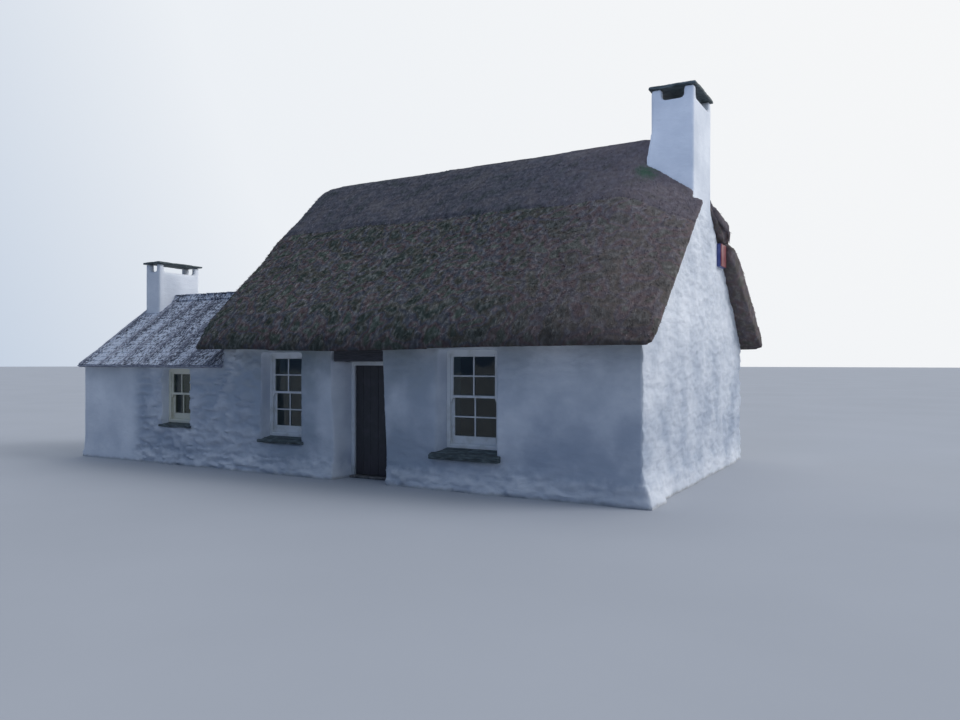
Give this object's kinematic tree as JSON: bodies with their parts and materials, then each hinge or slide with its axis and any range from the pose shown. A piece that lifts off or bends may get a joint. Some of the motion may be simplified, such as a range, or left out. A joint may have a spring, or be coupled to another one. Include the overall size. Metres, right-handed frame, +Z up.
{
  "type": "thatched cottage",
  "caption": "Long low whitewashed cottage with a thatched main house, a slate-roofed annex, a chimney on each gable and a hinged front door.",
  "frame": {"origin": "on the ground at the middle of the main house's plan, which is on the underside of its floor slab", "axes": "+X along the front wall to the right as seen from the road side, towards the thatched gable; -Y out of the front door; +Z up"},
  "size_m": [11.57, 6.65, 6.115],
  "materials": {
    "limewash": "limewashed lumpy rubble and roughcast, matt",
    "thatch": "weathered straw thatch, dark grey-brown, matt",
    "thatch_ridge": "ridge capping of weathered straw in level rows, matt",
    "roof_slate": "natural slate under worn cement wash",
    "dark_slate": "dark painted slate slabs",
    "lintel_timber": "dark tarred timber",
    "door_paint": "near-black painted boards, satin",
    "window_paint": "white gloss painted softwood",
    "cream_paint": "cream gloss painted softwood",
    "window_glass": "old drawn glass in front of dark rooms",
    "floor_stone": "worn flagstones",
    "roof_timber": "rough sawn roof timber",
    "box_enamel": "gloss moulded cover, faded",
    "curtain_cloth": "plain woven cotton"
  },
  "bodies": {
    "house": {"front_wall_left": "limewash", "front_wall_right": "limewash", "front_wall_over_door": "limewash", "rear_wall": "limewash", "right_gable_wall": "limewash", "left_gable_wall": "limewash", "main_floor": "floor_stone", "door_threshold": "floor_stone", "door_lintel": "lintel_timber", "door_frame": "window_paint", "purlin_front": "roof_timber", "purlin_rear": "roof_timber", "thatch_front": "thatch", "thatch_rear": "thatch", "thatch_ridge": "thatch_ridge", "right_chimney_stack": "limewash", "right_chimney_cap": "dark_slate", "alarm_box": "box_enamel", "annex_front_wall": "limewash", "annex_rear_wall": "limewash", "annex_gable_wall": "limewash", "annex_floor": "floor_stone", "annex_roof_front": "roof_slate", "annex_roof_rear": "roof_slate", "annex_ridge": "roof_slate", "annex_chimney_stack": "limewash", "annex_chimney_cap": "dark_slate", "annex_curtain_rod": "roof_timber", "annex_curtain": "curtain_cloth", "rear_window_frame": "window_paint", "rear_window_glass": "window_glass", "rear_window_sill": "dark_slate", "right_window_frame": "window_paint", "right_window_upper_sash": "window_paint", "right_window_lower_sash": "window_paint", "right_window_upper_glass": "window_glass", "right_window_lower_glass": "window_glass", "right_window_sill": "dark_slate", "left_window_frame": "window_paint", "left_window_upper_sash": "window_paint", "left_window_lower_sash": "window_paint", "left_window_upper_glass": "window_glass", "left_window_lower_glass": "window_glass", "left_window_sill": "dark_slate", "annex_window_frame": "cream_paint", "annex_window_upper_sash": "cream_paint", "annex_window_lower_sash": "cream_paint", "annex_window_upper_glass": "window_glass", "annex_window_lower_glass": "window_glass", "annex_window_sill": "dark_slate"},
    "door": {"front_door": "door_paint"}
  },
  "joints": [
    {"name": "front_door_hinge", "type": "hinge", "parent": "house", "child": "door", "pos_m": [-1.145, -2.505, 0], "axis": [0, 0, 1], "range_deg": [0, 90]}
  ]
}
